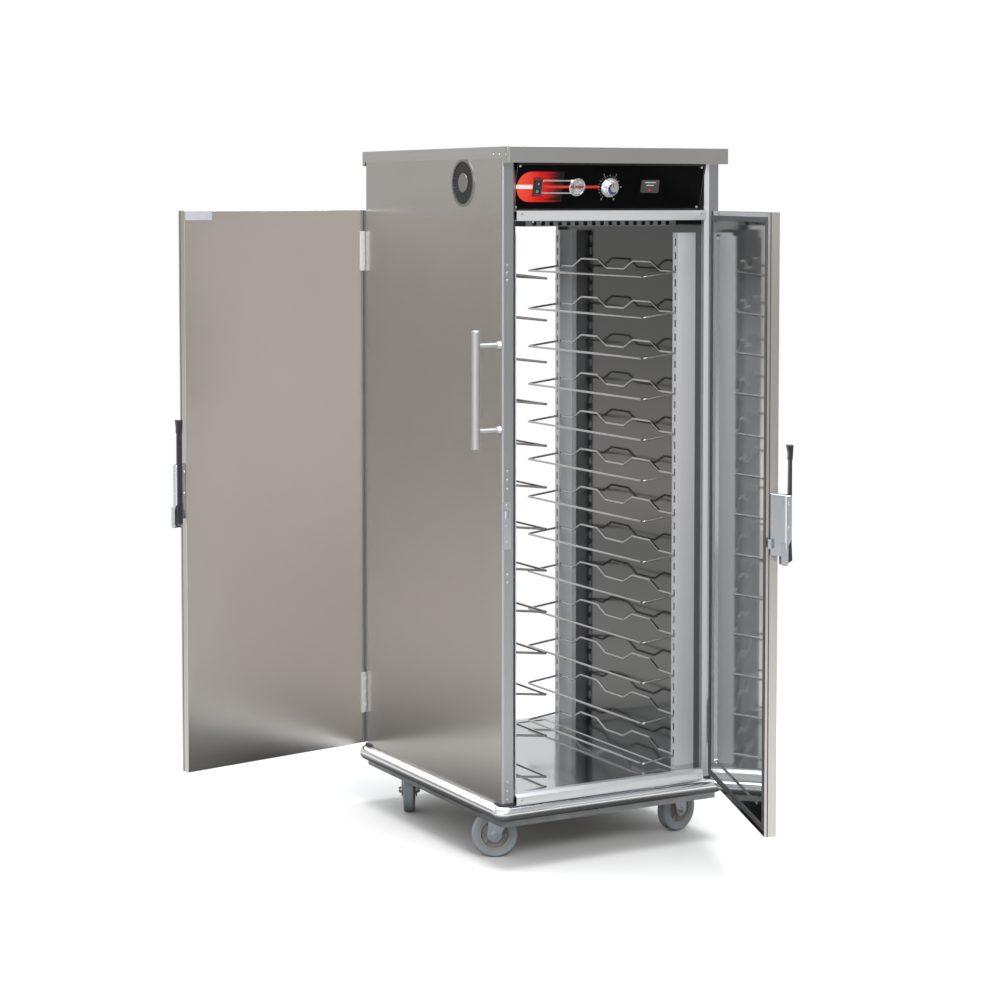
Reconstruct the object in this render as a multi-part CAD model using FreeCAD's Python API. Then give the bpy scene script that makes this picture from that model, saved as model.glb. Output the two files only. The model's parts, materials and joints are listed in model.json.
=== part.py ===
"""Mobile food holding cabinet with two swinging doors, in millimetres.

+Z is up, -Y is the front, and the origin is the middle of the footprint on the floor.
The doors stand open at rest. Each is built closed, then turned about its own hinge pins.
"""
import FreeCAD, Part
import math
import os

from FreeCAD import Vector

# Cabinet body
WIDTH = 690.0
DEPTH = 835.0
HEIGHT = 1940.0
SHEET = 1.2
FRAME_SHEET = 1.5
BODY_BOTTOM = 175.0
FLOOR_TOP = 200.0
CEILING = 1743.0
HEADER_TOP = 1770.0
CAP_BOTTOM = 1897.0
CAP_FRONT_OVERHANG = 41.0
CAP_REAR_OVERHANG = 16.0
CAP_SIDE_BOTTOM = 1908.0
POST_FACE = 34.0
POST_WIDTH = 45.0
POST_LIP = 21.0
POST_SIDE = 48.0
WALL = 27.0
SKIN_SETBACK = 6.5

# Base
SKIRT_BOTTOM = 115.0
BUMPER_BOTTOM = 133.0
BUMPER_REACH = 25.0
CASTER_TOP = 157.0
CASTER_X = 264.0
CASTER_Y = 295.0
CASTER_TRAIL = 32.0
WHEEL_RADIUS = 63.5
TREAD_WIDTH = 32.0
CORE_RADIUS = 46.0
AXLE_RADIUS = 5.97

# Tray slides and uprights
LEVELS = 13
LEVEL_PITCH = 114.3
LOWEST_LEVEL = 213.4
SLOT_PITCH = LEVEL_PITCH / 3
WIRE = 3.2
RAIL_X = 155.0
SLIDE_RISE = 14.0
SLIDE_BUMP = 24.0
UPRIGHT_X = 258.5
UPRIGHT_FLANGE = 25.0
UPRIGHT_TOP = 1707.0
UPRIGHT_Y = 340.0

# Vent, push handles and the duct and fan above the cavity
VENT_Y = -198.0
VENT_Z = 1845.0
VENT_RADIUS = 60.0
VENT_DISC_RADIUS = 26.0
PUSH_OUT = 72.0
PUSH_Y = -404.0
PUSH_LOW = 1136.0
PUSH_HIGH = 1454.0
PUSH_ARMS = (1185.0, 1412.0)
DUCT_HALF_X = 240.0
DUCT_HALF_Y = 358.0
DUCT_DEPTH = 16.0
DUCT_SLOTS = 17
FAN_X = 120.0
FAN_Y = 60.0
FAN_Z = CEILING + 12

# Doors
DOOR_GAP = 3.0
DOOR_THICK = 31.0
DOOR_BOTTOM = 181.0
DOOR_TOP = 1768.0
DOOR_HINGE_EDGE = 316.0
DOOR_FREE_EDGE = -316.0
HINGE_X = 324.0
HINGE_OUT = 22.5
KNUCKLE = 6.5
HINGE_PIN = 3.5
STRAP_WIDTH = 31.0
HINGE_LOW = (272.0, 392.0)
HINGE_HIGH = (1590.0, 1706.0)
FRONT_DOOR_ANGLE = 69.1
REAR_DOOR_ANGLE = 190.0
LINER_BORDER = 62.0
LINER_RECESS = 5.0
GASKET_LOW = 195.0
GASKET_HIGH = 1756.0
GASKET_WIDTH = 14.0

# Latch
LATCH_BOTTOM = 905.0
LATCH_TOP = 1060.0
LEVER_PIVOT_Q = 6.0
LEVER_PIVOT_Z = 892.0
LEVER_PIN = 4.0
LEVER_P = (27.0, 43.0)
CHEEK = 4.0
STRIKE_LOW = 867.0
STRIKE_HIGH = 996.0

# Control panel and power inlet
PANEL_SETBACK = 30.0
ROCKER_X = -229.0
ROCKER_TILT = 8.0
DIAL_X = -107.0
NEEDLE_REST = 120.0
KNOB_X = -6.0
DIAL_HOLE = 22.0
INLET_X = 205.0
INLET_Z = 1832.0
RUN_CLEARANCE = 0.05

HALF_W = WIDTH / 2
HALF_D = DEPTH / 2
OPENING_HALF = HALF_W - POST_WIDTH
LINER_X = HALF_W - WALL
DOOR_INNER = -HALF_D - DOOR_GAP
DOOR_OUTER = DOOR_INNER - DOOR_THICK
HINGE_Y = -HALF_D - HINGE_OUT
CAP_FRONT = -HALF_D - CAP_FRONT_OVERHANG
CAP_REAR = HALF_D + CAP_REAR_OVERHANG
PANEL_RISE = CAP_BOTTOM - HEADER_TOP
PANEL_LEAN = math.degrees(math.atan2(PANEL_SETBACK, PANEL_RISE))
PANEL_HALF_HEIGHT = math.hypot(PANEL_SETBACK, PANEL_RISE) / 2
Z_AXIS = Vector(0, 0, 1)
X_AXIS = Vector(1, 0, 0)
Y_AXIS = Vector(0, 1, 0)
ORIGIN = Vector(0, 0, 0)


def box(x0, x1, y0, y1, z0, z1):
    return Part.makeBox(x1 - x0, y1 - y0, z1 - z0, Vector(x0, y0, z0))


def rod_between(start, end, radius):
    run = Vector(*end) - Vector(*start)
    return Part.makeCylinder(radius, run.Length, Vector(*start), run)


def fused(*solids):
    whole = solids[0]
    if len(solids) > 1:
        whole = whole.multiFuse(list(solids[1:]))
    return whole.removeSplitter()


def turned(shape, angle, centre=ORIGIN, axis=Z_AXIS):
    copy = shape.copy()
    copy.rotate(centre, axis, angle)
    return copy


def moved(shape, x=0.0, y=0.0, z=0.0):
    copy = shape.copy()
    copy.translate(Vector(x, y, z))
    return copy


def both_sides(shape):
    return [shape, shape.mirror(ORIGIN, X_AXIS)]


def both_ends(shape):
    return [shape, turned(shape, 180)]


def save(name, *solids):
    shape = solids[0] if len(solids) == 1 else Part.makeCompound(list(solids))
    shape.exportStep("parts/" + name + ".step")


def prism(points, axis, start, length):
    """A prism: points are (x, y) for axis Z, (y, z) for axis X and (x, z) for axis Y."""
    place = {
        "Z": lambda a, b: Vector(a, b, start),
        "X": lambda a, b: Vector(start, a, b),
        "Y": lambda a, b: Vector(a, start, b),
    }[axis]
    corners = [place(a, b) for a, b in points]
    face = Part.Face(Part.makePolygon(corners + [corners[0]]))
    return face.extrude({"Z": Z_AXIS, "X": X_AXIS, "Y": Y_AXIS}[axis] * length)


def bent_sheet(points, thickness, z0, z1):
    """A sheet bent along a plan outline; its thickness lies to the left of the direction of travel."""
    path = [Vector(x, y, 0) for x, y in points]
    runs = [(b - a).normalize() for a, b in zip(path, path[1:])]
    sides = [Vector(-run.y, run.x, 0) for run in runs]
    inner = [path[0] + sides[0] * thickness]
    for corner, one, two in zip(path[1:-1], sides, sides[1:]):
        inner.append(corner + (one + two) * (thickness / (1 + one.dot(two))))
    inner.append(path[-1] + sides[-1] * thickness)
    outline = [(p.x, p.y) for p in path + inner[::-1]]
    return prism(outline, "Z", z0, z1 - z0)


def bent_rod(points, radius, bend):
    """A round bar of straight runs joined by tangent arcs."""
    corners = [Vector(*p) for p in points]
    edges = []
    start = corners[0]
    for before, corner, after in zip(corners, corners[1:], corners[2:]):
        back = (before - corner).normalize()
        ahead = (after - corner).normalize()
        half = back.getAngle(ahead) / 2
        reach = bend / math.tan(half)
        middle = (back + ahead).normalize() * (bend / math.sin(half) - bend)
        first = corner + back * reach
        last = corner + ahead * reach
        edges.append(Part.LineSegment(start, first).toShape())
        edges.append(Part.Arc(first, corner + middle, last).toShape())
        start = last
    edges.append(Part.LineSegment(start, corners[-1]).toShape())
    profile = Part.Wire(Part.makeCircle(radius, corners[0], corners[1] - corners[0]))
    return Part.Wire(edges).makePipeShell([profile], True, True)


def ring_plate(half_x, half_y, rim, z0, z1):
    outer = box(-half_x, half_x, -half_y, half_y, z0, z1)
    return outer.cut(box(rim - half_x, half_x - rim, rim - half_y, half_y - rim, z0, z1))


def dome_head(x, y, z, normal, radius=4.0, height=1.8):
    head = Part.makeCylinder(radius, height, ORIGIN, Z_AXIS)
    top = [e for e in head.Edges if abs(e.BoundBox.ZMin - height) < 1e-6]
    head = head.makeFillet(height * 0.6, top)
    head.Placement = FreeCAD.Placement(Vector(x, y, z), FreeCAD.Rotation(Z_AXIS, Vector(*normal)))
    return head


# Base ------------------------------------------------------------------------------------------------


def chassis_frame():
    wall = 3.0
    half_x = HALF_W - wall
    half_y = HALF_D - wall
    skirt = ring_plate(half_x, half_y, wall, SKIRT_BOTTOM, BODY_BOTTOM)
    flange = ring_plate(half_x, half_y, 60.0, BODY_BOTTOM - wall, BODY_BOTTOM)
    pads = []
    for sx in (-1, 1):
        for sy in (-1, 1):
            xs = sorted((sx * half_x, sx * (half_x - 150)))
            ys = sorted((sy * half_y, sy * (half_y - 200)))
            pads.append(box(*xs, *ys, CASTER_TOP, CASTER_TOP + 4))
    members = [box(-half_x, half_x, y - 20, y + 20, 145, BODY_BOTTOM) for y in (-110, 110)]
    return fused(skirt, flange, *pads, *members)


def bumper():
    inner_x = HALF_W - 3
    inner_y = HALF_D - 3
    reach = BUMPER_REACH + 3
    ring = box(-inner_x - reach, inner_x + reach, -inner_y - reach, inner_y + reach,
               BUMPER_BOTTOM, BODY_BOTTOM)
    corners = [e for e in ring.Edges if e.BoundBox.ZLength > 40]
    ring = ring.makeFillet(38, corners)
    rims = [e for e in ring.Edges if e.BoundBox.ZLength < 1]
    ring = ring.makeFillet(20, rims)
    return ring.cut(box(-inner_x, inner_x, -inner_y, inner_y, BUMPER_BOTTOM, BODY_BOTTOM))


def caster_plate():
    plate = box(-50, 50, -42, 42, CASTER_TOP - 4, CASTER_TOP)
    raceway = Part.makeCylinder(27, 8.5, Vector(0, 0, CASTER_TOP - 12.5))
    king_pin = Part.makeCylinder(6, 26, Vector(0, 0, CASTER_TOP - 28))
    nut = Part.makeCylinder(10, 5.5, Vector(0, 0, CASTER_TOP - 28))
    bolts = []
    for x in (-37, 37):
        for y in (-31, 31):
            bolts.append(Part.makeCylinder(6, 5, Vector(x, y, CASTER_TOP - 9)))
    return fused(plate, raceway, king_pin, nut, *bolts)


def caster_fork():
    inner = TREAD_WIDTH / 2 + 3.5
    outer = inner + 3
    crown_low = CASTER_TOP - 22
    crown_top = CASTER_TOP - 13
    crown = box(-24, 46, -outer, outer, crown_low, crown_top)
    crown = crown.makeFillet(14, [e for e in crown.Edges if e.BoundBox.ZLength > 8])
    rim = Part.makeCylinder(29, crown_top - crown_low, Vector(0, 0, crown_low))
    legs = []
    for side in (-outer, inner):
        blade = prism([(-18, crown_low + 3), (46, crown_low + 3), (52, WHEEL_RADIUS),
                       (14, WHEEL_RADIUS)], "Y", side, 3)
        end = Part.makeCylinder(20, 3, Vector(CASTER_TRAIL, side, WHEEL_RADIUS), Y_AXIS)
        legs.append(fused(blade, end))
    axle = Part.makeCylinder(AXLE_RADIUS, 2 * outer + 12,
                             Vector(CASTER_TRAIL, -outer - 6, WHEEL_RADIUS), Y_AXIS)
    heads = [Part.makeCylinder(9, 5, Vector(CASTER_TRAIL, y, WHEEL_RADIUS), Y_AXIS)
             for y in (-outer - 5, outer)]
    whole = fused(crown, rim, *legs, axle, *heads)
    return whole.cut(Part.makeCylinder(6 + RUN_CLEARANCE, 40, Vector(0, 0, crown_low - 20)))


def wheel_core():
    profile = [(AXLE_RADIUS + RUN_CLEARANCE, 18.5), (14, 18.5), (14, 6), (36, 4), (38, 14),
               (CORE_RADIUS, 14)]
    points = profile + [(r, -w) for r, w in profile[::-1]]
    return wheel_ring(points)


def wheel_tyre():
    half = TREAD_WIDTH / 2
    tyre = wheel_ring([(CORE_RADIUS, half), (WHEEL_RADIUS, half), (WHEEL_RADIUS, -half),
                       (CORE_RADIUS, -half)])
    rims = [e for e in tyre.Edges if e.BoundBox.XLength > 2 * WHEEL_RADIUS - 1 and e.Closed]
    return tyre.makeFillet(6, rims)


def wheel_ring(points):
    corners = [Vector(CASTER_TRAIL + r, w, WHEEL_RADIUS) for r, w in points]
    face = Part.Face(Part.makePolygon(corners + [corners[0]]))
    return face.revolve(Vector(CASTER_TRAIL, 0, WHEEL_RADIUS), Y_AXIS, 360)


def make_casters():
    """Each caster is built trailing along +X, then turned to the way that it rolled in."""
    spots = {
        "front_left": (-CASTER_X, -CASTER_Y, 151.2),
        "front_right": (CASTER_X, -CASTER_Y, 14.0),
        "rear_left": (-CASTER_X, CASTER_Y, 241.2),
        "rear_right": (CASTER_X, CASTER_Y, 205.0),
    }
    plates = []
    for name, (x, y, heading) in spots.items():
        plates.append(moved(caster_plate(), x, y))
        for piece, shape in (("fork", caster_fork()), ("wheel_core", wheel_core()),
                             ("tyre", wheel_tyre())):
            save(name + "_" + piece, moved(turned(shape, heading), x, y))
    save("caster_plates", *plates)


# Cabinet shell ---------------------------------------------------------------------------------------


def corner_post():
    """Front left post: side run, rounded corner, front face, bevel and a lip into the doorway."""
    out = HALF_W - SHEET
    plan = [(-OPENING_HALF, -HALF_D + POST_LIP), (-OPENING_HALF, -HALF_D + 8),
            (-HALF_W + POST_FACE, -HALF_D), (-out, -HALF_D), (-out, -HALF_D + POST_SIDE)]
    post = bent_sheet([(x, y) for x, y in plan[::-1]], FRAME_SHEET, BODY_BOTTOM, CAP_BOTTOM + 33)
    corner = [e for e in post.Edges if e.BoundBox.ZLength > 1000
              and abs(e.BoundBox.XMin + out) < 0.01 and abs(e.BoundBox.YMin + HALF_D) < 0.01]
    return post.makeFillet(5, corner)


def four_corners(shape):
    left = [shape, shape.mirror(ORIGIN, Y_AXIS)]
    return left + [s.mirror(ORIGIN, X_AXIS) for s in left]


def side_skin(side):
    half_y = HALF_D - SKIN_SETBACK
    skin = box(HALF_W - SHEET, HALF_W, -half_y, half_y, BODY_BOTTOM, CAP_BOTTOM + 33)
    if side > 0:
        return skin
    skin = skin.mirror(ORIGIN, X_AXIS)
    return skin.cut(rod_between((-HALF_W - 5, VENT_Y, VENT_Z), (-HALF_W + 5, VENT_Y, VENT_Z), VENT_RADIUS))


def side_liner():
    end = HALF_D - POST_LIP
    plan = [(OPENING_HALF, -end), (LINER_X + SHEET, -end), (LINER_X + SHEET, end), (OPENING_HALF, end)]
    return bent_sheet(plan, SHEET, FLOOR_TOP, CEILING)


def insulation():
    end = HALF_D - POST_SIDE - 1
    side = box(LINER_X + SHEET, HALF_W - SHEET, -end, end, FLOOR_TOP + 2, CEILING - 2)
    floor = box(-LINER_X, LINER_X, -end, end, BODY_BOTTOM + 0.5, FLOOR_TOP - 4)
    roof = box(-HALF_W + 12, HALF_W - 12, -HALF_D + 25, HALF_D - 25, CAP_BOTTOM + 15, HEIGHT - 1.5)
    return both_sides(side) + [floor, roof]


def top_cap():
    rim = FRAME_SHEET
    shell = box(-HALF_W - rim, HALF_W + rim, CAP_FRONT, CAP_REAR, CAP_BOTTOM, HEIGHT)
    soft = [e for e in shell.Edges if e.BoundBox.ZMax > CAP_BOTTOM + 1]
    shell = shell.makeFillet(1.0, soft)
    hollow = box(-HALF_W, HALF_W, CAP_FRONT + rim, CAP_REAR - rim, CAP_BOTTOM + rim, HEIGHT - rim)
    mouth = box(-HALF_W, HALF_W, -HALF_D, HALF_D, CAP_BOTTOM, CAP_BOTTOM + rim)
    sides = box(-HALF_W - rim - 1, HALF_W + rim + 1, -HALF_D, HALF_D, CAP_BOTTOM - 1, CAP_SIDE_BOTTOM)
    return shell.cut(fused(hollow, mouth)).cut(sides)


def header_rail():
    t = FRAME_SHEET
    return fused(
        box(-OPENING_HALF, OPENING_HALF, -HALF_D, -HALF_D + t, CEILING, HEADER_TOP),
        box(-OPENING_HALF, OPENING_HALF, -HALF_D, -HALF_D + PANEL_SETBACK, HEADER_TOP - t, HEADER_TOP),
        box(-OPENING_HALF, OPENING_HALF, -HALF_D, -HALF_D + POST_LIP, CEILING, CEILING + t))


def door_sill():
    t = FRAME_SHEET
    low = BODY_BOTTOM
    lip = 8.0
    plan = [(-HALF_D, low), (-HALF_D, FLOOR_TOP - lip), (-HALF_D + lip, FLOOR_TOP),
            (-HALF_D + 27, FLOOR_TOP), (-HALF_D + 27, FLOOR_TOP - t), (-HALF_D + lip + t, FLOOR_TOP - t),
            (-HALF_D + t, FLOOR_TOP - lip - t), (-HALF_D + t, low)]
    return prism(plan, "X", -OPENING_HALF, 2 * OPENING_HALF)


def floor_pan():
    """A pan with a shallow drained middle."""
    half_y = HALF_D - 27
    drop = 2.0
    plate = box(-LINER_X, LINER_X, -half_y, half_y, FLOOR_TOP - FRAME_SHEET, FLOOR_TOP)
    well = box(-UPRIGHT_X + 20, UPRIGHT_X - 20, -half_y + 25, half_y - 25,
               FLOOR_TOP - FRAME_SHEET - drop, FLOOR_TOP)
    dish = box(-UPRIGHT_X + 20 + SHEET, UPRIGHT_X - 20 - SHEET, -half_y + 25 + SHEET, half_y - 25 - SHEET,
               FLOOR_TOP - drop, FLOOR_TOP)
    return fused(plate, well).cut(dish)


def vent_ring():
    """A flange trimmed where it meets the cap, and a middle disc on the screen."""
    out = -HALF_W - 2
    flange = rod_between((out, 0, 0), (-HALF_W, 0, 0), VENT_RADIUS + 5)
    flange = flange.cut(rod_between((out, 0, 0), (-HALF_W, 0, 0), VENT_RADIUS - 2))
    top = box(out - 1, 1 - HALF_W, -100, 100, CAP_SIDE_BOTTOM - 0.3 - VENT_Z, 100)
    disc = rod_between((out, 0, 0), (-HALF_W, 0, 0), VENT_DISC_RADIUS)
    disc = disc.makeFillet(1.0, [e for e in disc.Edges if e.Closed and e.BoundBox.XMax < out + 0.1])
    return [moved(piece, 0, VENT_Y, VENT_Z) for piece in (flange.cut(top), disc)]


def vent_mesh():
    front = -HALF_W
    screen = rod_between((front, 0, 0), (front + 1, 0, 0), VENT_RADIUS - 0.2)
    holes = []
    for row in range(5):
        radius = VENT_DISC_RADIUS + 5 + 5.9 * row
        count = int(0.8 * radius)
        for k in range(count):
            angle = math.tau * k / count
            y = radius * math.cos(angle)
            z = radius * math.sin(angle)
            holes.append(rod_between((front - 1, y, z), (front + 2, y, z), 2.2))
    return moved(screen.cut(Part.makeCompound(holes)), 0, VENT_Y, VENT_Z)


def push_handle():
    x = -HALF_W - PUSH_OUT
    bar = rod_between((x, PUSH_Y, PUSH_LOW), (x, PUSH_Y, PUSH_HIGH), 12)
    bar = bar.makeFillet(5, [e for e in bar.Edges if e.BoundBox.ZLength < 1])
    arms = []
    for z in PUSH_ARMS:
        arms.append(rod_between((-HALF_W, PUSH_Y, z), (x, PUSH_Y, z), 8))
        foot = Part.makeCone(13, 10, 10, Vector(-HALF_W, PUSH_Y, z), Vector(-1, 0, 0))
        arms.append(foot)
    return fused(bar, *arms)


# Cavity ----------------------------------------------------------------------------------------------


def upright():
    """Front right upright: a channel with its slotted flange facing the middle."""
    t = FRAME_SHEET
    front = -UPRIGHT_Y
    back = front + UPRIGHT_FLANGE
    web = box(UPRIGHT_X, LINER_X, front, front + t, FLOOR_TOP, UPRIGHT_TOP)
    flange = box(UPRIGHT_X, UPRIGHT_X + t, front, back, FLOOR_TOP, UPRIGHT_TOP)
    foot = box(LINER_X - t, LINER_X, front, back, FLOOR_TOP, UPRIGHT_TOP)
    slots = []
    middle = (front + back) / 2
    for k in range(3 * LEVELS):
        low = LOWEST_LEVEL + SLIDE_RISE + k * SLOT_PITCH - WIRE - 2.0
        slots.append(box(UPRIGHT_X - 1, UPRIGHT_X + 3, middle - 4.5, middle + 4.5, low, low + 21))
    return fused(web, flange, foot).cut(Part.makeCompound(slots))


def tray_slide():
    """Right slide of the lowest level: a U of wire to carry the tray, and a stepped guide wire."""
    end = UPRIGHT_Y - UPRIGHT_FLANGE / 2
    low = LOWEST_LEVEL
    high = low + SLIDE_RISE
    guide_x = UPRIGHT_X + 5.5
    carrier = bent_rod([(guide_x + 6, -end, high), (RAIL_X, -end, low), (RAIL_X, end, low),
                        (guide_x + 6, end, high)], WIRE, 9)
    top = high + SLIDE_BUMP
    stop = end - 2 * WIRE - 0.1
    half = [(stop, high), (244, high), (194, top), (99, top), (49, high)]
    line = half + [(-y, z) for y, z in half[::-1]]
    guide = bent_rod([(guide_x, y, z) for y, z in line], WIRE, 12)
    return [carrier, guide]


def tray_slides():
    solids = []
    for piece in tray_slide():
        for level in range(LEVELS):
            solids += both_sides(moved(piece, z=level * LEVEL_PITCH))
    return solids


def ceiling_duct():
    """The cavity's ceiling, with a shallow slotted duct hanging from its middle."""
    half_y = HALF_D - POST_LIP
    low = CEILING - DUCT_DEPTH
    plate = box(-LINER_X, LINER_X, -half_y, half_y, CEILING, CEILING + SHEET)
    tray = box(-DUCT_HALF_X, DUCT_HALF_X, -DUCT_HALF_Y, DUCT_HALF_Y, low, CEILING)
    hollow = box(-DUCT_HALF_X + SHEET, DUCT_HALF_X - SHEET, -DUCT_HALF_Y + SHEET, DUCT_HALF_Y - SHEET,
                 low + SHEET, CEILING)
    fan_hole = Part.makeCylinder(66, 4, Vector(FAN_X, FAN_Y, CEILING - 1))
    heater_hole = box(-205, 5, -135, 135, CEILING - 1, CEILING + 3)
    pitch = 26.6
    openings = []
    for k in range(DUCT_SLOTS):
        x = (k - (DUCT_SLOTS - 1) / 2) * pitch
        openings.append(box(x - 6, x + 6, -DUCT_HALF_Y - 5, DUCT_HALF_Y + 5, low + 2.5, CEILING - 2.5))
    for row in (-1, 0, 1):
        for k in range(9):
            x = (k - 4) * 44
            y = row * 180
            openings.append(box(x - 15, x + 15, y - 4, y + 4, low - 1, low + SHEET + 0.5))
    return fused(plate, tray).cut(hollow).cut(Part.makeCompound(openings + [fan_hole, heater_hole]))


def heater_element():
    """A sheathed element in three passes over the duct, with its cold ends beside each other."""
    z = CEILING + 22
    turns = []
    for k, x in enumerate((-190, -130, -70, -10)):
        ends = [(x, 260, z), (x, -260, z)]
        turns += ends if k % 2 == 0 else ends[::-1]
    element = bent_rod(turns, 4, 25)
    clips = [box(-200, 0, y - 8, y + 8, CEILING + SHEET, z - 4) for y in (-150, 150)]
    return [element] + clips


def fan_motor():
    can = Part.makeCylinder(45, 62, Vector(FAN_X, FAN_Y, FAN_Z + 52))
    can = can.makeFillet(6, [e for e in can.Edges if e.Closed])
    bore = Part.makeCylinder(4 + RUN_CLEARANCE, 40, Vector(FAN_X, FAN_Y, FAN_Z + 46))
    plate = box(FAN_X - 60, FAN_X + 60, FAN_Y - 60, FAN_Y + 60, FAN_Z + 48, FAN_Z + 52)
    legs = []
    for sx in (-1, 1):
        for sy in (-1, 1):
            legs.append(rod_between((FAN_X + sx * 54, FAN_Y + sy * 54, CEILING + SHEET),
                                    (FAN_X + sx * 54, FAN_Y + sy * 54, FAN_Z + 48), 4))
    return fused(can, plate, *legs).cut(bore)


def fan_blade():
    hub = Part.makeCylinder(12, 22, Vector(0, 0, 0))
    shaft = Part.makeCylinder(4, 60, Vector(0, 0, 15))
    blades = []
    for k in range(5):
        blade = box(8, 64, -13, 13, 10, 12)
        blade = turned(blade, 28, Vector(0, 0, 11), X_AXIS)
        blades.append(turned(blade, 72 * k))
    return moved(fused(hub, shaft, *blades), FAN_X, FAN_Y, FAN_Z)


# Controls: built facing -Y about the panel's middle, then leaned and moved onto it ----------------------


def on_panel(shape):
    leaned = turned(shape, PANEL_LEAN, axis=X_AXIS)
    return moved(leaned, 0, -HALF_D + PANEL_SETBACK / 2, (CAP_BOTTOM + HEADER_TOP) / 2)


def control_panel():
    plate = box(-OPENING_HALF, OPENING_HALF, 0, 2, -PANEL_HALF_HEIGHT, PANEL_HALF_HEIGHT)
    rocker_hole = box(ROCKER_X - 12, ROCKER_X + 12, -1, 3, -24, 24)
    dial_hole = rod_between((DIAL_X, -1, 0), (DIAL_X, 3, 0), DIAL_HOLE)
    shaft_hole = rod_between((KNOB_X, -1, 0), (KNOB_X, 3, 0), 4)
    return plate.cut(fused(rocker_hole, dial_hole, shaft_hole))


def rocker_bezel():
    frame = box(ROCKER_X - 14, ROCKER_X + 14, -2, 0, -26, 26)
    tub = box(ROCKER_X - 11.9, ROCKER_X + 11.9, 0, 26, -23.9, 23.9)
    well = box(ROCKER_X - 10.7, ROCKER_X + 10.7, -3, 24, -22.4, 22.4)
    pin_hole = rod_between((ROCKER_X - 11.85, 8, 0), (ROCKER_X + 11.85, 8, 0), 1.5 + RUN_CLEARANCE)
    return fused(frame, tub).cut(well).cut(pin_hole)


def power_rocker():
    side = [(-4, -19), (-2.5, 0), (-4, 19), (14, 19), (14, -19)]
    paddle = prism(side, "X", ROCKER_X - 10.4, 20.8)
    pin = rod_between((ROCKER_X - 11.8, 8, 0), (ROCKER_X + 11.8, 8, 0), 1.5)
    return turned(fused(paddle, pin), ROCKER_TILT, Vector(0, 8, 0), X_AXIS)


def thermometer_case():
    ring = rod_between((DIAL_X, -5, 0), (DIAL_X, 0, 0), 25)
    ring = ring.makeFillet(2, [e for e in ring.Edges if e.Closed and e.BoundBox.YMax < -4])
    cup = rod_between((DIAL_X, 0, 0), (DIAL_X, 14, 0), DIAL_HOLE - 0.1)
    seat = rod_between((DIAL_X, -6, 0), (DIAL_X, -2.5, 0), 21.5)
    well = rod_between((DIAL_X, -6, 0), (DIAL_X, 2, 0), 20.5)
    pin = rod_between((DIAL_X, -1.4, 0), (DIAL_X, 3, 0), 1)
    return fused(fused(ring, cup).cut(seat).cut(well), pin)


def thermometer_lens():
    return rod_between((DIAL_X, -4.2, 0), (DIAL_X, -2.5, 0), 21.45)


def thermometer_needle():
    hub = rod_between((DIAL_X, -1.0, 0), (DIAL_X, 0.4, 0), 2.5)
    pointer = prism([(DIAL_X - 1.6, -6), (DIAL_X + 1.6, -6), (DIAL_X + 0.4, 17), (DIAL_X - 0.4, 17)],
                    "Y", -0.8, 0.7)
    bore = rod_between((DIAL_X, -2, 0), (DIAL_X, 1, 0), 1 + RUN_CLEARANCE)
    return turned(fused(hub, pointer).cut(bore), -NEEDLE_REST, Vector(DIAL_X, 0, 0), Y_AXIS)


def thermostat_body():
    case = box(KNOB_X - 24, KNOB_X + 24, 2, 40, -19, 19)
    case = case.makeFillet(2, [e for e in case.Edges if e.BoundBox.YLength > 30])
    tabs = [box(KNOB_X + x - 4, KNOB_X + x + 4, 40, 50, -1, 1) for x in (-14, 0, 14)]
    return fused(case, *tabs).cut(rod_between((KNOB_X, -1, 0), (KNOB_X, 26, 0), 3 + RUN_CLEARANCE))


def thermostat_knob():
    skirt = rod_between((KNOB_X, -7, 0), (KNOB_X, -1.5, 0), 27)
    skirt = skirt.makeFillet(2.5, [e for e in skirt.Edges if e.Closed and e.BoundBox.YMax < -6])
    grip = rod_between((KNOB_X, -24, 0), (KNOB_X, -5, 0), 19)
    grip = grip.makeFillet(3, [e for e in grip.Edges if e.Closed and e.BoundBox.YMax < -23])
    flutes = []
    for k in range(12):
        angle = math.tau * k / 12
        x = KNOB_X + 21.5 * math.cos(angle)
        z = 21.5 * math.sin(angle)
        flutes.append(rod_between((x, -30, z), (x, -8, z), 4))
    shaft = rod_between((KNOB_X, -6, 0), (KNOB_X, 24, 0), 3)
    return fused(skirt, grip.cut(Part.makeCompound(flutes)), shaft)


def rear_panel():
    t = FRAME_SHEET
    plate = box(-OPENING_HALF, OPENING_HALF, HALF_D - t, HALF_D, HEADER_TOP, CAP_BOTTOM)
    slots = []
    for column in (-170, -40):
        for k in range(5):
            z = 1798 + k * 18
            slots.append(box(column - 50, column + 50, HALF_D - 3, HALF_D + 1, z - 3.5, z + 3.5))
    hole = rod_between((INLET_X, HALF_D - 3, INLET_Z), (INLET_X, HALF_D + 1, INLET_Z), 24.1)
    return plate.cut(Part.makeCompound(slots)).cut(hole)


def power_inlet():
    flange = rod_between((INLET_X, HALF_D, INLET_Z), (INLET_X, HALF_D + 4, INLET_Z), 33)
    flange = flange.makeFillet(1.5, [e for e in flange.Edges if e.Closed and e.BoundBox.YMin > HALF_D + 3])
    cup = rod_between((INLET_X, HALF_D - 34, INLET_Z), (INLET_X, HALF_D, INLET_Z), 24)
    recess = rod_between((INLET_X, HALF_D - 28, INLET_Z), (INLET_X, HALF_D + 5, INLET_Z), 20)
    blades = [
        box(INLET_X - 8, INLET_X - 6.4, HALF_D - 30, HALF_D - 8, INLET_Z - 4, INLET_Z + 4),
        box(INLET_X + 6.4, INLET_X + 8, HALF_D - 30, HALF_D - 8, INLET_Z - 4, INLET_Z + 4),
        rod_between((INLET_X, HALF_D - 30, INLET_Z - 10), (INLET_X, HALF_D - 6, INLET_Z - 10), 2.4),
    ]
    return fused(fused(flange, cup).cut(recess), *blades)


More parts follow.
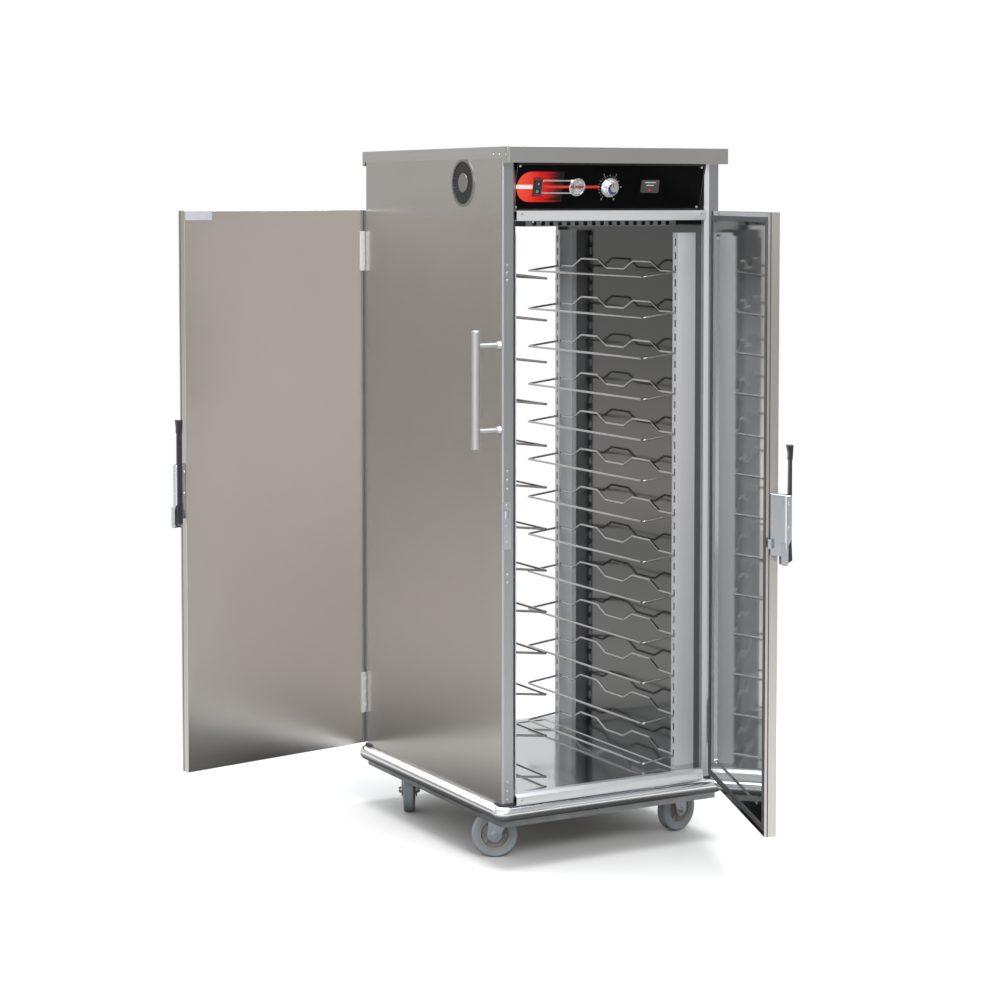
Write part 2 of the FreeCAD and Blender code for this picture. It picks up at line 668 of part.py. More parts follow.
# Doors: built closed on the front, hinge on the right ------------------------------------------------


def door_skin():
    whole = box(DOOR_FREE_EDGE, DOOR_HINGE_EDGE, DOOR_OUTER, DOOR_INNER, DOOR_BOTTOM, DOOR_TOP)
    outside = [e for e in whole.Edges if e.BoundBox.YMax < DOOR_OUTER + 1]
    whole = whole.makeFillet(1.5, outside)
    inside = box(DOOR_FREE_EDGE + SHEET, DOOR_HINGE_EDGE - SHEET, DOOR_OUTER + SHEET, DOOR_INNER,
                 DOOR_BOTTOM + SHEET, DOOR_TOP - SHEET)
    return whole.cut(inside)


def door_liner():
    """The inside face: a flat border round a middle panel set back by a small step."""
    x0 = DOOR_FREE_EDGE + SHEET
    x1 = DOOR_HINGE_EDGE - SHEET
    z0 = DOOR_BOTTOM + SHEET
    z1 = DOOR_TOP - SHEET
    b = LINER_BORDER
    plate = box(x0, x1, DOOR_INNER - SHEET, DOOR_INNER, z0, z1)
    pan = box(x0 + b, x1 - b, DOOR_INNER - LINER_RECESS - SHEET, DOOR_INNER, z0 + b, z1 - b)
    dish = box(x0 + b + SHEET, x1 - b - SHEET, DOOR_INNER - LINER_RECESS, DOOR_INNER + 1,
               z0 + b + SHEET, z1 - b - SHEET)
    dish = dish.makeFillet(12, [e for e in dish.Edges if e.BoundBox.YLength > LINER_RECESS])
    pan = pan.makeFillet(13, [e for e in pan.Edges if e.BoundBox.YLength > LINER_RECESS])
    return fused(plate, pan).cut(dish)


def door_insulation():
    b = LINER_BORDER - 1
    slab = box(DOOR_FREE_EDGE + 2, DOOR_HINGE_EDGE - 2, DOOR_OUTER + SHEET, DOOR_INNER - SHEET,
               DOOR_BOTTOM + 2, DOOR_TOP - 2)
    room = box(DOOR_FREE_EDGE + b, DOOR_HINGE_EDGE - b, DOOR_INNER - LINER_RECESS - SHEET, DOOR_INNER,
               DOOR_BOTTOM + b, DOOR_TOP - b)
    return slab.cut(room)


def door_gasket():
    """A soft frame seal that just meets the posts, header rail and sill."""
    half = OPENING_HALF + 11
    hole = half - GASKET_WIDTH
    outer = box(-half, half, DOOR_INNER, -HALF_D - 0.3, GASKET_LOW, GASKET_HIGH)
    inner = box(-hole, hole, DOOR_INNER, -HALF_D - 0.3, GASKET_LOW + GASKET_WIDTH, GASKET_HIGH - GASKET_WIDTH)
    seal = outer.cut(inner)
    soft = [e for e in seal.Edges if e.BoundBox.YMin > -HALF_D - 0.4]
    return seal.makeFillet(1.0, soft)


def hinge_parts(low, high):
    """Five knuckles on one pin: the outer and middle ones belong to the cabinet, the rest to the door."""
    count = 5
    step = (high - low) / count
    gap = 0.2
    leaf = box(HINGE_X - 6, HINGE_X + 9, -HALF_D - 2, -HALF_D, low, high)
    web = box(HINGE_X - 2, HINGE_X + 2, HINGE_Y, -HALF_D - 1, low, high)
    strap = box(DOOR_HINGE_EDGE - STRAP_WIDTH, DOOR_HINGE_EDGE + 1.5, DOOR_OUTER - 2, DOOR_OUTER, low, high)
    edge = box(DOOR_HINGE_EDGE, DOOR_HINGE_EDGE + 1.5, DOOR_OUTER - 2, HINGE_Y + 3, low, high)
    arm = box(DOOR_HINGE_EDGE, HINGE_X, HINGE_Y - 3, HINGE_Y + 3, low, high)
    cabinet = [fused(leaf, web)]
    door = [fused(strap, edge, arm)]
    for k in range(count):
        start = low + k * step
        base = Vector(HINGE_X, HINGE_Y, start + gap)
        knuckle = Part.makeCylinder(KNUCKLE, step - 2 * gap, base)
        room = Part.makeCylinder(KNUCKLE + 0.7, step, Vector(HINGE_X, HINGE_Y, start))
        owner, other = (cabinet, door) if k % 2 == 0 else (door, cabinet)
        other[0] = other[0].cut(room)
        owner.append(knuckle)
    tip = 2.5
    pin = Part.makeCylinder(HINGE_PIN, high - low + 2 * tip, Vector(HINGE_X, HINGE_Y, low - tip))
    caps = [Part.makeCylinder(KNUCKLE - 1, tip, Vector(HINGE_X, HINGE_Y, z)) for z in (low - tip, high)]
    bore = Part.makeCylinder(HINGE_PIN + RUN_CLEARANCE, high - low, Vector(HINGE_X, HINGE_Y, low))
    screws = []
    for k in range(3):
        z = low + (k + 0.5) * (high - low) / 3
        screws.append(dome_head(DOOR_HINGE_EDGE - 16, DOOR_OUTER - 2, z, (0, -1, 0), 3.5, 1.2))
    door_leaf = fused(*door, *screws).cut(bore)
    cabinet_leaf = fused(*cabinet).cut(bore)
    return cabinet_leaf, fused(pin, *caps), door_leaf


def latch_plan(p, q):
    """p runs out from the door's free edge, and q out from its outer face."""
    return DOOR_FREE_EDGE - p, DOOR_OUTER - q


def latch_housing():
    plan = [(0, -22), (0, -2), (25, 24), (48, 24), (48, 8), (14, -22)]
    block = prism([latch_plan(p, q) for p, q in plan], "Z", LATCH_BOTTOM, LATCH_TOP - LATCH_BOTTOM)
    upright_edges = [e for e in block.Edges if e.BoundBox.ZLength > 100
                     and e.BoundBox.XMax < DOOR_FREE_EDGE - 1]
    block = block.makeFillet(5, upright_edges)
    x0, y0 = latch_plan(60, 40)
    taper = prism([(y0, LATCH_BOTTOM), (DOOR_OUTER, LATCH_BOTTOM), (y0, LATCH_BOTTOM + 75)], "X", x0, 60)
    block = block.cut(taper)
    crown = [e for e in block.Edges if e.BoundBox.ZMin > LATCH_TOP - 0.01]
    block = block.makeFillet(3, crown)
    near, far = LEVER_P[0] - 0.6, LEVER_P[1] + 0.6
    channel = box(DOOR_FREE_EDGE - far, DOOR_FREE_EDGE - near, DOOR_OUTER - 40, DOOR_OUTER - 11,
                  LATCH_BOTTOM - 1, LATCH_TOP + 1)
    block = block.cut(channel)
    cheeks = []
    for p in (near - CHEEK, far):
        cheek = box(DOOR_FREE_EDGE - p - CHEEK, DOOR_FREE_EDGE - p, DOOR_OUTER - 15, DOOR_OUTER + 3,
                    LEVER_PIVOT_Z - 10, LATCH_BOTTOM + 35)
        low = [e for e in cheek.Edges if e.BoundBox.XLength > CHEEK - 1 and e.BoundBox.ZMax < LEVER_PIVOT_Z]
        cheeks.append(cheek.makeFillet(5, low))
    pin_y = DOOR_OUTER - LEVER_PIVOT_Q
    pin = rod_between((DOOR_FREE_EDGE - near + CHEEK + 1, pin_y, LEVER_PIVOT_Z),
                      (DOOR_FREE_EDGE - far - CHEEK - 1, pin_y, LEVER_PIVOT_Z), LEVER_PIN)
    screws = []
    for p, q, normal in ((12.5, 11, (26, -25, 0)), (48, 16, (-1, 0, 0))):
        for z in (LATCH_TOP - 22, LATCH_BOTTOM + 72):
            x, y = latch_plan(p, q)
            screws.append(dome_head(x, y, z, normal, 4, 1.5))
    return fused(block, *cheeks, pin, *screws)


def latch_lever():
    """A long pull lever that hooks under the housing and turns on a cross pin."""
    side = [(-4, 886), (6, 882), (27, 895), (25, 940), (25, 1150), (27, 1185), (12, 1185), (17, 1160),
            (15, 940), (15, 908), (8, 901), (-4, 898)]
    points = [(DOOR_OUTER - q, z) for q, z in side]
    start = DOOR_FREE_EDGE - LEVER_P[1]
    width = LEVER_P[1] - LEVER_P[0]
    lever = prism(points, "X", start, width)
    hub = rod_between((start, DOOR_OUTER - LEVER_PIVOT_Q, LEVER_PIVOT_Z),
                      (start + width, DOOR_OUTER - LEVER_PIVOT_Q, LEVER_PIVOT_Z), 9.5)
    tall = [e for e in lever.Edges if e.BoundBox.ZLength > 150]
    lever = lever.makeFillet(2.5, tall)
    bore = rod_between((start - 1, DOOR_OUTER - LEVER_PIVOT_Q, LEVER_PIVOT_Z),
                       (start + width + 1, DOOR_OUTER - LEVER_PIVOT_Q, LEVER_PIVOT_Z),
                       LEVER_PIN + RUN_CLEARANCE)
    return fused(lever, hub).cut(bore)


def latch_bolt():
    """A flat nose against the housing's inner side, drawn back towards the door by the lever."""
    x0, y0 = latch_plan(23, -22.3)
    nose = box(x0, x0 + 14, y0, y0 + 6.5, 922, 946)
    slanted = [e for e in nose.Edges if e.BoundBox.ZLength > 20 and e.BoundBox.XMax < x0 + 1
               and e.BoundBox.YMin > y0 + 6]
    return nose.makeChamfer(4, slanted)


def strike():
    x = -HALF_W + 2
    plate = box(x, x + 24, -HALF_D - 2, -HALF_D, STRIKE_LOW, STRIKE_HIGH)
    plate = plate.makeFillet(3, [e for e in plate.Edges if e.BoundBox.YLength > 1.5])
    catch = box(x + 3, x + 14, -HALF_D - 10, -HALF_D - 2, 950, 972)
    catch = catch.makeFillet(3, [e for e in catch.Edges if e.BoundBox.ZLength > 20
                                 and e.BoundBox.YMax < -HALF_D - 9])
    screws = [dome_head(x + 12, -HALF_D - 2, z, (0, -1, 0), 4, 1.5) for z in (885, 930, 985)]
    return fused(plate, catch, *screws)


def make_doors():
    leaves = [hinge_parts(*span) for span in (HINGE_LOW, HINGE_HIGH)]
    fixed = [shape for cabinet_leaf, pin, _ in leaves for shape in (cabinet_leaf, pin)]
    save("cabinet_hinges", *[s for shape in fixed for s in both_ends(shape)])
    save("strikes", *both_ends(strike()))
    pieces = {
        "skin": [door_skin()],
        "liner": [door_liner()],
        "insulation": [door_insulation()],
        "gasket": [door_gasket()],
        "hinge_leaves": [door_leaf for _, _, door_leaf in leaves],
        "latch_housing": [latch_housing()],
        "latch_lever": [latch_lever()],
        "latch_bolt": [latch_bolt()],
    }
    hinge = Vector(HINGE_X, HINGE_Y, 0)
    for name, solids in pieces.items():
        front = [turned(s, FRONT_DOOR_ANGLE, hinge) for s in solids]
        rear = [turned(turned(s, REAR_DOOR_ANGLE, hinge), 180) for s in solids]
        save("front_door_" + name, *front)
        save("rear_door_" + name, *rear)


# Fasteners -------------------------------------------------------------------------------------------


def frame_fasteners():
    heads = []
    post_x = -HALF_W + 17
    for z in (1625, 1605, 1585, 1076, 1053, 1029, 799, 777, 237, 213, 190):
        heads += both_ends(dome_head(post_x, -HALF_D, z, (0, -1, 0)))
    for z in (1761, 183):
        for x in (-285, 285):
            heads += both_ends(dome_head(x, -HALF_D, z, (0, -1, 0), 3.5, 1.5))
    for y in (-440, -405, -370):
        heads += both_sides(dome_head(-HALF_W - FRAME_SHEET, y, (CAP_BOTTOM + HEIGHT) / 2, (-1, 0, 0), 3, 1.2))
    for low, high in (HINGE_LOW, HINGE_HIGH):
        for k in range(3):
            z = low + (k + 0.5) * (high - low) / 3
            heads += both_ends(dome_head(HINGE_X + 6.3, -HALF_D - 2, z, (0, -1, 0), 2.4, 1.0))
    for x in (-285, 0, 285):
        for z in (HEADER_TOP + 12, CAP_BOTTOM - 12):
            heads.append(dome_head(x, HALF_D, z, (0, 1, 0), 3.5, 1.5))
    return heads


def main():
    os.makedirs("parts", exist_ok=True)
    save("chassis_frame", chassis_frame())
    save("bumper", bumper())
    save("corner_posts", *four_corners(corner_post()))
    save("side_skins", side_skin(-1), side_skin(1))
    save("side_liners", *both_sides(side_liner()))
    save("insulation", *insulation())
    save("top_cap", top_cap())
    save("opening_rails", *both_ends(header_rail()), *both_ends(door_sill()))
    save("floor_pan", floor_pan())
    save("control_panel", on_panel(control_panel()))
    save("rear_panel", rear_panel())
    save("ceiling_duct", ceiling_duct())
    save("heater_element", *heater_element())
    save("fan_motor", fan_motor())
    save("fan_blade", fan_blade())
    save("thermostat_body", on_panel(thermostat_body()))
    save("thermostat_knob", on_panel(thermostat_knob()))
    save("rocker_bezel", on_panel(rocker_bezel()))
    save("power_rocker", on_panel(power_rocker()))
    save("thermometer_case", on_panel(thermometer_case()))
    save("thermometer_lens", on_panel(thermometer_lens()))
    save("thermometer_needle", on_panel(thermometer_needle()))
    save("power_inlet", power_inlet())
    save("uprights", *four_corners(upright()))
    save("tray_slides", *tray_slides())
    save("vent_ring", *vent_ring())
    save("vent_mesh", vent_mesh())
    save("push_handles", *both_ends(push_handle()))
    save("frame_fasteners", *frame_fasteners())
    make_doors()
    make_casters()


main()
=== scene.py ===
import json
import math

import bmesh
import bpy
from mathutils import Matrix, Vector


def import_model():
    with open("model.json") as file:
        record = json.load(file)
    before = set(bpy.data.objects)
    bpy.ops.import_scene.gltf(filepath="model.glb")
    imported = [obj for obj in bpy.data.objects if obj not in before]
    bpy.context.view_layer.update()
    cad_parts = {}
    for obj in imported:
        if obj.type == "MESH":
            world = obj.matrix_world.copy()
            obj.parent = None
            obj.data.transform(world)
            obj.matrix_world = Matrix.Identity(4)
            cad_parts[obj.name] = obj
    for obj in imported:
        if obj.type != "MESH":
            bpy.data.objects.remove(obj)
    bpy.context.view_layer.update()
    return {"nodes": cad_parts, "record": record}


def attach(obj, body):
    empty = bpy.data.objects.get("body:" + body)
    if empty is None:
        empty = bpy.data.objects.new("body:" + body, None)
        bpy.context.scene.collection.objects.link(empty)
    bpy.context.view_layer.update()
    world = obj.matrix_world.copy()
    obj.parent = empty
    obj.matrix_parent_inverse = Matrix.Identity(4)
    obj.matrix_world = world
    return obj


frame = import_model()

MM = 0.001

# Numbers that part.py also uses, in millimetres.
HALF_W = 345.0
HALF_D = 417.5
DOOR_FREE_EDGE = -316.0
DOOR_HINGE_EDGE = 316.0
DOOR_INNER = -420.5
DOOR_OUTER = -451.5
DOOR_BOTTOM = 181.0
DOOR_TOP = 1768.0
HINGE = Vector((324.0, -440.0, 0.0)) * MM
FRONT_DOOR_ANGLE = 69.1
REAR_DOOR_ANGLE = 190.0
LEVER_SETBACK = 43.0
LEVER_THICK = 16.0
ROCKER_X = -229.0
DIAL_X = -107.0
KNOB_X = -6.0
KNOB_FACE = -24.0
PANEL_MIDDLE = (0.0, -402.5, 1833.5)
PANEL_LEAN = math.atan2(30, 127)
PANEL_HALF_W, PANEL_HALF_H = 298.0, 63.0
PANEL_BORDER = 2.5
ROCKER_TILT = 8.0
POST_INSET = 17.0
SHOE_HALF = 24.0
SHOE_LOW, SHOE_HIGH = 175.0, 180.0
UPRIGHT_FACE = 257.7
UPRIGHT_END = 339.0
CLIP_LEVELS = (372.0, 1556.0)
VENT_Y, VENT_Z = -198.0, 1845.0
CASTERS = {
    "front_left": (-264.0, -295.0, 151.2),
    "front_right": (264.0, -295.0, 14.0),
    "rear_left": (-264.0, 295.0, 241.2),
    "rear_right": (264.0, 295.0, 205.0),
}
TRAIL = 32.0
WHEEL_RADIUS = 63.5

PANEL = Matrix.Translation(Vector(PANEL_MIDDLE) * MM) @ Matrix.Rotation(PANEL_LEAN, 4, "X")


def about_hinge(angle):
    turn = Matrix.Rotation(math.radians(angle), 4, "Z")
    return Matrix.Translation(HINGE) @ turn @ Matrix.Translation(-HINGE)


DOORS = {
    "front": about_hinge(FRONT_DOOR_ANGLE),
    "rear": Matrix.Rotation(math.pi, 4, "Z") @ about_hinge(REAR_DOOR_ANGLE),
}


# Materials -------------------------------------------------------------------------------------------


class Graph:
    """A material's node tree with short ways to add to it."""

    def __init__(self, name):
        self.material = bpy.data.materials.new(name)
        self.material.use_nodes = True
        self.nodes = self.material.node_tree.nodes
        self.links = self.material.node_tree.links
        self.shader = self.nodes["Principled BSDF"]

    def add(self, kind, **settings):
        node = self.nodes.new(kind)
        for key, value in settings.items():
            setattr(node, key, value)
        return node

    def join(self, out, into):
        self.links.new(out, into)

    def set(self, **values):
        for key, value in values.items():
            socket = self.shader.inputs[key.replace("_", " ")]
            socket.default_value = (*value, 1.0) if isinstance(value, tuple) else value

    def place(self, scale=(1, 1, 1), turn=(0, 0, 0)):
        where = self.add("ShaderNodeTexCoord")
        mapping = self.add("ShaderNodeMapping")
        mapping.inputs["Scale"].default_value = scale
        mapping.inputs["Rotation"].default_value = turn
        self.join(where.outputs["Object"], mapping.inputs["Vector"])
        return mapping.outputs["Vector"]

    def noise(self, vector, scale=1.0, detail=3.0, rough=0.5):
        node = self.add("ShaderNodeTexNoise")
        node.inputs["Scale"].default_value = scale
        node.inputs["Detail"].default_value = detail
        node.inputs["Roughness"].default_value = rough
        self.join(vector, node.inputs["Vector"])
        return node.outputs["Fac"]

    def range(self, value, low, high, start=0.3, end=0.7):
        node = self.add("ShaderNodeMapRange")
        node.inputs["From Min"].default_value = start
        node.inputs["From Max"].default_value = end
        node.inputs["To Min"].default_value = low
        node.inputs["To Max"].default_value = high
        self.join(value, node.inputs["Value"])
        return node.outputs["Result"]

    def sum(self, *values):
        total = values[0]
        for value in values[1:]:
            node = self.add("ShaderNodeMath", operation="ADD")
            self.join(total, node.inputs[0])
            self.join(value, node.inputs[1])
            total = node.outputs[0]
        return total

    def mix(self, factor, first, second):
        node = self.add("ShaderNodeMix", data_type="RGBA")
        self.join(factor, node.inputs["Factor"])
        for socket, colour in (("A", first), ("B", second)):
            target = [s for s in node.inputs if s.name == socket and s.type == "RGBA"][0]
            if isinstance(colour, tuple):
                target.default_value = (*colour, 1.0)
            else:
                self.join(colour, target)
        return [s for s in node.outputs if s.type == "RGBA"][0]

    def bump(self, height, distance, strength=0.5):
        node = self.add("ShaderNodeBump")
        node.inputs["Strength"].default_value = strength
        node.inputs["Distance"].default_value = distance
        self.join(height, node.inputs["Height"])
        self.join(node.outputs["Normal"], self.shader.inputs["Normal"])


def tint(colour, factor):
    return tuple(min(1.0, c * factor) for c in colour)


def brushed(name, colour, rough, grain, spread=0.02, streak=0.015, cloud=0.03, relief=0.000004, metallic=1.0):
    """Metal with fine streaks along the low-frequency axis of grain, and soft large-scale clouding."""
    g = Graph(name)
    g.set(Metallic=metallic)
    streaks = g.noise(g.place(grain), detail=4.0, rough=0.6)
    clouds = g.noise(g.place(), scale=1.7, detail=2.0)
    smears = g.noise(g.place((5.0, 5.0, 2.0)), detail=3.0)
    base = g.mix(g.range(streaks, 0, 1), tint(colour, 1 - streak), tint(colour, 1 + streak))
    shade = g.mix(g.range(clouds, 0, 1), (1 - cloud,) * 3, (1.0, 1.0, 1.0))
    both = g.add("ShaderNodeMix", data_type="RGBA", blend_type="MULTIPLY")
    both.inputs["Factor"].default_value = 1.0
    colours = [s for s in both.inputs if s.type == "RGBA"]
    g.join(base, colours[0])
    g.join(shade, colours[1])
    g.join([s for s in both.outputs if s.type == "RGBA"][0], g.shader.inputs["Base Color"])
    g.join(g.sum(g.range(streaks, rough - spread / 2, rough + spread / 2), g.range(smears, 0, spread)),
           g.shader.inputs["Roughness"])
    g.bump(streaks, relief)
    return g.material


def mottled(name, first, second, rough, scale, relief, metallic=0.0, spread=0.08, coat=0.0, specular=0.5):
    """An even surface with fine grain: moulded plastic, rubber, plated or painted metal."""
    g = Graph(name)
    g.set(Metallic=metallic, Coat_Weight=coat, Coat_Roughness=0.08, Specular_IOR_Level=specular)
    fine = g.noise(g.place(), scale=scale, detail=4.0)
    broad = g.noise(g.place(), scale=scale / 14, detail=3.0)
    g.join(g.mix(g.range(broad, 0, 1), first, second), g.shader.inputs["Base Color"])
    g.join(g.range(fine, rough - spread, rough + spread), g.shader.inputs["Roughness"])
    g.bump(fine, relief)
    return g.material


def red_flash():
    """A red patch that breaks into thin streaks and fades out to the right."""
    g = Graph("red_flash")
    g.set(Roughness=0.3, Specular_IOR_Level=0.15)
    where = g.add("ShaderNodeTexCoord")
    split = g.add("ShaderNodeSeparateXYZ")
    g.join(where.outputs["Object"], split.inputs[0])
    lines = g.noise(g.place((6.0, 6.0, 260.0)), detail=3.0, rough=0.7)
    fade = g.range(split.outputs["X"], 0.0, 1.0, -0.235, -0.155)
    broken = g.sum(fade, g.range(lines, -0.35, 0.35))
    glow = g.mix(g.range(split.outputs["X"], 0, 1, -0.292, -0.225), (0.86, 0.10, 0.05), (0.75, 0.012, 0.008))
    g.join(g.mix(g.range(broken, 0, 1, 0.2, 0.8), glow, (0.012, 0.010, 0.011)), g.shader.inputs["Base Color"])
    return g.material


def clear_glass():
    g = Graph("lens_glass")
    g.set(Transmission_Weight=1.0, IOR=1.45, Base_Color=(0.97, 0.99, 1.0))
    smear = g.noise(g.place(), scale=120.0)
    g.join(g.range(smear, 0.0, 0.05), g.shader.inputs["Roughness"])
    return g.material


def fibrous():
    g = Graph("insulation")
    fibres = g.noise(g.place((90.0, 90.0, 30.0)), detail=8.0, rough=0.75)
    g.join(g.mix(g.range(fibres, 0, 1), (0.60, 0.50, 0.22), (0.85, 0.78, 0.50)), g.shader.inputs["Base Color"])
    g.set(Roughness=0.95, Sheen_Weight=0.2)
    g.bump(fibres, 0.002)
    return g.material


VERTICAL = (420.0, 420.0, 3.0)
ALONG_X = (3.0, 420.0, 420.0)
ALONG_Y = (420.0, 3.0, 420.0)

LOOKS = {
    "side_steel": brushed("side_steel", (0.60, 0.577, 0.555), 0.24, VERTICAL),
    # Painted shade: the side liners' polished steel has a base colour painted far darker than steel, for the dim
    # inside walls of the cabinet.
    "liner_steel_painted_shade": brushed("liner_steel_painted_shade", (0.14, 0.141, 0.142), 0.10, VERTICAL),
    "floor_steel": brushed("floor_steel", (0.62, 0.63, 0.65), 0.10, ALONG_X),
    "cap_steel": brushed("cap_steel", (0.62, 0.61, 0.59), 0.28, ALONG_Y),
    "frame_aluminium": brushed("frame_aluminium", (0.50, 0.52, 0.545), 0.30, VERTICAL),
    "rail_aluminium": brushed("rail_aluminium", (0.84, 0.86, 0.88), 0.32, ALONG_X, metallic=0.7),
    "upright_metal": brushed("upright_metal", (0.80, 0.815, 0.84), 0.42, VERTICAL, metallic=0.2),
    "polished_steel": brushed("polished_steel", (0.48, 0.487, 0.50), 0.055, VERTICAL, spread=0.012, streak=0.01,
                              relief=0.000002),
    "bumper_metal": brushed("bumper_metal", (0.90, 0.92, 0.94), 0.16, (40.0, 40.0, 400.0)),
    "galvanised": mottled("galvanised", (0.36, 0.37, 0.38), (0.50, 0.51, 0.52), 0.42, 260.0, 0.00004, 0.9),
    "duct_metal": brushed("duct_metal", (0.30, 0.30, 0.305), 0.35, ALONG_X),
    "insulation": fibrous(),
    "panel_black": mottled("panel_black", (0.0012, 0.0012, 0.0014), (0.002, 0.002, 0.0022), 0.30, 500.0, 0.00001,
                           spread=0.03, specular=0.06),
    "heater_sheath": mottled("heater_sheath", (0.22, 0.18, 0.15), (0.36, 0.32, 0.30), 0.4, 150.0, 0.00003, 1.0),
    "motor_metal": mottled("motor_metal", (0.10, 0.10, 0.11), (0.15, 0.15, 0.16), 0.45, 300.0, 0.00005, 0.4),
    "dark_plastic": mottled("dark_plastic", (0.025, 0.025, 0.028), (0.04, 0.04, 0.043), 0.45, 900.0, 0.00005),
    "knob_silver": brushed("knob_silver", (0.80, 0.81, 0.84), 0.22, (500.0, 500.0, 500.0), streak=0.02),
    "rocker_plastic": mottled("rocker_plastic", (0.02, 0.02, 0.02), (0.03, 0.03, 0.032), 0.22, 700.0, 0.00002),
    "dial_metal": brushed("dial_metal", (0.78, 0.79, 0.81), 0.12, (300.0, 300.0, 300.0), streak=0.02),
    "lens_glass": clear_glass(),
    "needle_paint": mottled("needle_paint", (0.55, 0.03, 0.02), (0.62, 0.04, 0.03), 0.3, 500.0, 0.00001),
    "slide_wire": brushed("slide_wire", (0.46, 0.455, 0.45), 0.18, (90.0, 90.0, 90.0), streak=0.05, relief=0.00001),
    "vent_metal": brushed("vent_metal", (0.34, 0.335, 0.33), 0.30, VERTICAL),
    "vent_screen": brushed("vent_screen", (0.10, 0.10, 0.10), 0.45, (300.0, 300.0, 300.0)),
    "handle_metal": brushed("handle_metal", (0.50, 0.505, 0.51), 0.30, VERTICAL, metallic=0.7),
    "fastener_metal": brushed("fastener_metal", (0.62, 0.64, 0.67), 0.28, (300.0, 300.0, 300.0)),
    "latch_metal": brushed("latch_metal", (0.62, 0.66, 0.72), 0.15, (60.0, 60.0, 60.0), streak=0.03),
    "lever_black": mottled("lever_black", (0.010, 0.011, 0.020), (0.016, 0.017, 0.030), 0.20, 400.0, 0.00002,
                           coat=0.4),
    "hinge_metal": brushed("hinge_metal", (0.93, 0.915, 0.91), 0.30, VERTICAL, metallic=0.5),
    "zinc": mottled("zinc", (0.62, 0.70, 0.78), (0.78, 0.82, 0.86), 0.34, 60.0, 0.000004, 0.8),
    "gasket_rubber": mottled("gasket_rubber", (0.055, 0.055, 0.058), (0.08, 0.08, 0.085), 0.62, 800.0, 0.00004),
    "caster_tread": mottled("caster_tread", (0.36, 0.42, 0.46), (0.44, 0.49, 0.53), 0.46, 500.0, 0.00004),
    "wheel_core": mottled("wheel_core", (0.38, 0.375, 0.33), (0.48, 0.47, 0.42), 0.42, 400.0, 0.00006),
}
OWN_LOOKS = {"opening_rails": "rail_aluminium", "top_cap": "cap_steel", "side_liners": "liner_steel_painted_shade",
             "floor_pan": "floor_steel"}
EXTRA = {
    "dial_white": mottled("dial_white", (0.80, 0.80, 0.78), (0.86, 0.86, 0.84), 0.4, 600.0, 0.00001),
    "dial_ink": mottled("dial_ink", (0.02, 0.02, 0.025), (0.03, 0.03, 0.035), 0.4, 600.0, 0.00001),
    "pale_ink": mottled("pale_ink", (0.62, 0.63, 0.65), (0.70, 0.71, 0.73), 0.35, 600.0, 0.00001),
    "blue_ink": mottled("blue_ink", (0.02, 0.035, 0.14), (0.03, 0.05, 0.18), 0.25, 600.0, 0.00001, coat=0.5),
    "red_ink": mottled("red_ink", (0.62, 0.015, 0.010), (0.72, 0.03, 0.02), 0.25, 500.0, 0.00001, coat=0.5),
    "label_film": mottled("label_film", (0.40, 0.42, 0.46), (0.48, 0.50, 0.53), 0.35, 300.0, 0.00002, coat=0.2),
    "dark_film": mottled("dark_film", (0.05, 0.045, 0.05), (0.08, 0.07, 0.07), 0.35, 300.0, 0.00002),
    "red_flash": red_flash(),
}


# Pieces ----------------------------------------------------------------------------------------------


def piece(name, mesh, look, body, at=None, soften=None, smooth=True):
    """Makes an object of a mesh, in place, riding on a body."""
    obj = bpy.data.objects.new(name, mesh)
    bpy.context.scene.collection.objects.link(obj)
    if at is not None:
        mesh.transform(at)
    mesh.materials.append(LOOKS.get(look) or EXTRA[look])
    if smooth:
        mesh.polygons.foreach_set("use_smooth", [True] * len(mesh.polygons))
        mesh.set_sharp_from_angle(angle=math.radians(35))
    if soften:
        bevel = obj.modifiers.new("soften", "BEVEL")
        bevel.width = soften * MM
        bevel.segments = 3
        bevel.limit_method = "ANGLE"
        bevel.harden_normals = False
    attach(obj, body)
    return obj


def build(maker):
    """Runs a function on an empty bmesh and returns the mesh."""
    mesh = bpy.data.meshes.new("piece")
    bm = bmesh.new()
    maker(bm)
    bmesh.ops.recalc_face_normals(bm, faces=bm.faces)
    bm.to_mesh(mesh)
    bm.free()
    return mesh


def corner(bm, a, b, along, axis):
    """A vertex at (a, b) across the axis and at a distance along it, in millimetres."""
    point = {"X": (along, a, b), "Y": (a, along, b), "Z": (a, b, along)}[axis]
    return bm.verts.new(Vector(point) * MM)


def add_prism(bm, outline, low, high, axis="Y"):
    """A closed prism in millimetres: outline is (a, b) pairs across the axis, which runs from low to high."""
    rings = [[corner(bm, a, b, along, axis) for a, b in outline] for along in (low, high)]
    count = len(outline)
    bm.faces.new(rings[0])
    bm.faces.new(rings[1][::-1])
    for k in range(count):
        n = (k + 1) % count
        bm.faces.new((rings[0][k], rings[0][n], rings[1][n], rings[1][k]))


def add_ring(bm, outer, inner, low, high, axis="Y"):
    """A closed flat ring between two outlines with the same number of points."""
    loops = [[corner(bm, a, b, along, axis) for a, b in line]
             for line, along in ((outer, low), (inner, low), (inner, high), (outer, high))]
    count = len(outer)
    for a in range(4):
        b = (a + 1) % 4
        for k in range(count):
            n = (k + 1) % count
            bm.faces.new((loops[a][k], loops[a][n], loops[b][n], loops[b][k]))


def circle(radius, count=48, x=0.0, z=0.0, start=0.0):
    step = math.tau / count
    return [(x + radius * math.cos(start + k * step), z + radius * math.sin(start + k * step))
            for k in range(count)]


